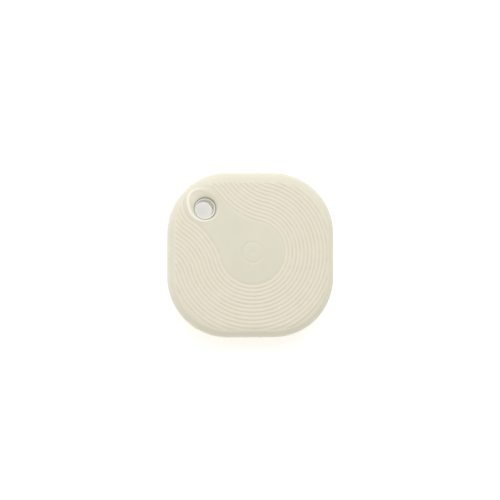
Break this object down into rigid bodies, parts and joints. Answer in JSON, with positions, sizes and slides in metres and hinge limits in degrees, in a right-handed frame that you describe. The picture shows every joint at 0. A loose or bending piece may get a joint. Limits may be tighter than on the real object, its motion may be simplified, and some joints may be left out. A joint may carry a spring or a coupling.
{
  "type": "bluetooth tracker tag",
  "caption": "Rounded square key tracker tag with a corner keyring hole, a press key under its face and a coin cell between two pull-apart halves.",
  "frame": {"origin": "middle of the flat rest face on the back cover", "axes": "+Z out of the pressed face, +Y towards the edge at the top of the face, +X to the right of it; the keyring hole is in the -X +Y corner"},
  "size_m": [0.036, 0.0356, 0.0105],
  "materials": {
    "ivory_silicone": "matte moulded silicone",
    "ivory_plastic": "fine satin moulded",
    "white_plastic": "satin moulded",
    "grey_silicone": "matte",
    "black_plastic": "satin moulded",
    "board_laminate": "solder mask over glass laminate",
    "cell_steel": "nickel plated, drawn",
    "screw_steel": "bright zinc plated",
    "nickel_spring": "nickel plated spring strip",
    "disc_brass": "rolled",
    "chip_ceramic": "fired, matte",
    "chip_resistor": "glazed black over alumina",
    "ferrite": "sintered, matte"
  },
  "bodies": {
    "back_half": {"back_cover": "ivory_plastic", "perimeter_seal": "grey_silicone", "eyelet_seal": "grey_silicone"},
    "coin_cell": {"cell_can": "cell_steel", "cell_cap": "cell_steel", "cell_gasket": "black_plastic"},
    "front_half": {"front_skin": "ivory_silicone", "front_shell": "ivory_plastic", "keyring_sleeve": "white_plastic", "circuit_board": "board_laminate", "cell_holder": "black_plastic", "negative_contact": "nickel_spring", "positive_contact": "nickel_spring", "board_screw_1": "screw_steel", "board_screw_2": "screw_steel", "switch_body": "black_plastic", "switch_cover": "screw_steel", "sounder_case": "black_plastic", "sounder_disc": "disc_brass", "radio_chip": "black_plastic", "radio_crystal": "screw_steel", "clock_crystal": "screw_steel", "chip_antenna": "chip_ceramic", "sounder_driver": "black_plastic", "power_inductor": "ferrite", "capacitor_1": "chip_ceramic", "capacitor_2": "chip_ceramic", "capacitor_3": "chip_ceramic", "capacitor_4": "chip_ceramic", "capacitor_5": "chip_ceramic", "capacitor_6": "chip_ceramic", "capacitor_7": "chip_ceramic", "capacitor_8": "chip_ceramic", "resistor_1": "chip_resistor", "resistor_2": "chip_resistor", "resistor_3": "chip_resistor", "resistor_4": "chip_resistor"},
    "press_key": {"press_pad": "ivory_silicone", "key_plate": "white_plastic"},
    "plunger": {"switch_plunger": "white_plastic"}
  },
  "joints": [
    {"name": "cell_lift", "type": "slide", "parent": "back_half", "child": "coin_cell", "axis": [0, 0, 1], "range_m": [0, 0.008]},
    {"name": "case_open", "type": "slide", "parent": "coin_cell", "child": "front_half", "axis": [0, 0, 1], "range_m": [0, 0.014]},
    {"name": "key_press", "type": "slide", "parent": "front_half", "child": "press_key", "axis": [0, 0, -1], "range_m": [0, 0.0003], "stiffness_N_per_m": 2000},
    {"name": "plunger_press", "type": "slide", "parent": "front_half", "child": "plunger", "axis": [0, 0, -1], "range_m": [0, 0.0003]}
  ],
  "couplings": [
    {"joint": "plunger_press", "follows": "key_press", "ratio": 1}
  ]
}
